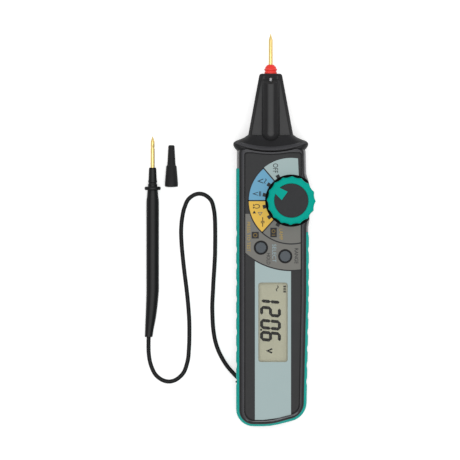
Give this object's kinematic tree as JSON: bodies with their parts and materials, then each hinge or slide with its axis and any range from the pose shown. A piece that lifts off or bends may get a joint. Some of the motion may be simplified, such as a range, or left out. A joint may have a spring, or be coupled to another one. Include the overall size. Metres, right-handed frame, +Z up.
{
  "type": "pen multimeter",
  "caption": "Pen-shaped digital multimeter with a fixed test pin, thumb dial, keys, display, side grip, captive lead with probe, and a loose probe cap.",
  "frame": {"origin": "middle of the case's flat back, on the surface that the meter lies on", "axes": "+Z up out of the face, +Y along the meter towards its test pin, +X towards the side that the dial stands out of"},
  "size_m": [0.0828, 0.1902, 0.031],
  "materials": {
    "case_plastic": "fine moulded grain, satin",
    "grip_rubber": "soft matte elastomer",
    "panel_film": "printed film, satin",
    "window_clear": "clear, polished",
    "display_glass": "pale olive display",
    "dark_plastic": "moulded",
    "zebra_rubber": "layered",
    "board_laminate": "solder mask",
    "plain_steel": "zinc plated",
    "dial_green": "moulded, satin",
    "dial_dark": "moulded, satin",
    "pale_plastic": "moulded",
    "gold_plate": "polished gold plate",
    "key_plastic": "moulded, satin",
    "red_plastic": "glossy",
    "wire_jacket": "smooth",
    "lens_clear": "clear, polished",
    "cell_steel": "polished",
    "cord_rubber": "smooth, satin",
    "probe_plastic": "moulded, satin",
    "cap_rubber": "matte"
  },
  "bodies": {
    "root": {"front_case": "case_plastic", "rear_case": "case_plastic", "side_grip": "grip_rubber", "face_panel": "panel_film", "lcd_window": "window_clear", "lcd_glass": "display_glass", "lcd_frame": "dark_plastic", "zebra_strips": "zebra_rubber", "circuit_board": "board_laminate", "board_chips": "dark_plastic", "buzzer": "dark_plastic", "tact_switches": "plain_steel", "detent_ring": "plain_steel", "test_pin": "gold_plate", "pin_collar": "red_plastic", "pin_terminal": "gold_plate", "inner_leads": "wire_jacket", "tip_lamp": "pale_plastic", "lamp_lens": "lens_clear", "button_cells": "cell_steel", "cell_contacts": "plain_steel", "case_screws": "plain_steel", "cord_grommet": "cord_rubber", "cord_tie": "plain_steel", "lead_tail": "cord_rubber", "lead_cord": "cord_rubber", "probe_handle": "probe_plastic", "probe_nose": "probe_plastic", "probe_pin": "gold_plate", "probe_ferrule": "plain_steel"},
    "dial": {"dial_wheel": "dial_green", "dial_cap": "dial_dark", "dial_shaft": "dark_plastic", "switch_rotor": "pale_plastic", "wiper_contacts": "gold_plate", "detent_ball": "plain_steel", "detent_spring": "plain_steel", "rotor_screw": "plain_steel"},
    "hold_key": {"hold_button": "key_plastic", "hold_plunger": "dark_plastic"},
    "select_key": {"select_button": "key_plastic", "select_plunger": "dark_plastic"},
    "cover": {"battery_cover": "case_plastic", "cover_screw": "plain_steel"},
    "cap": {"probe_cap": "cap_rubber"}
  },
  "joints": [
    {"name": "dial_turn", "type": "hinge", "parent": "root", "child": "dial", "pos_m": [0.0099, 0.0424, 0.0202], "axis": [0, 0, 1], "range_deg": [-24.4, 97.6]},
    {"name": "hold_press", "type": "slide", "parent": "root", "child": "hold_key", "axis": [0, 0, -1], "range_m": [0, 0.0006], "stiffness_N_per_m": 1500},
    {"name": "select_press", "type": "slide", "parent": "root", "child": "select_key", "axis": [0, 0, -1], "range_m": [0, 0.0006], "stiffness_N_per_m": 1500},
    {"name": "cover_lift", "type": "slide", "parent": "root", "child": "cover", "axis": [0, 0, -1], "range_m": [0, 0.015]},
    {"name": "cap_slide", "type": "slide", "parent": "root", "child": "cap", "axis": [0, 1, 0], "range_m": [0, 0.02]}
  ]
}
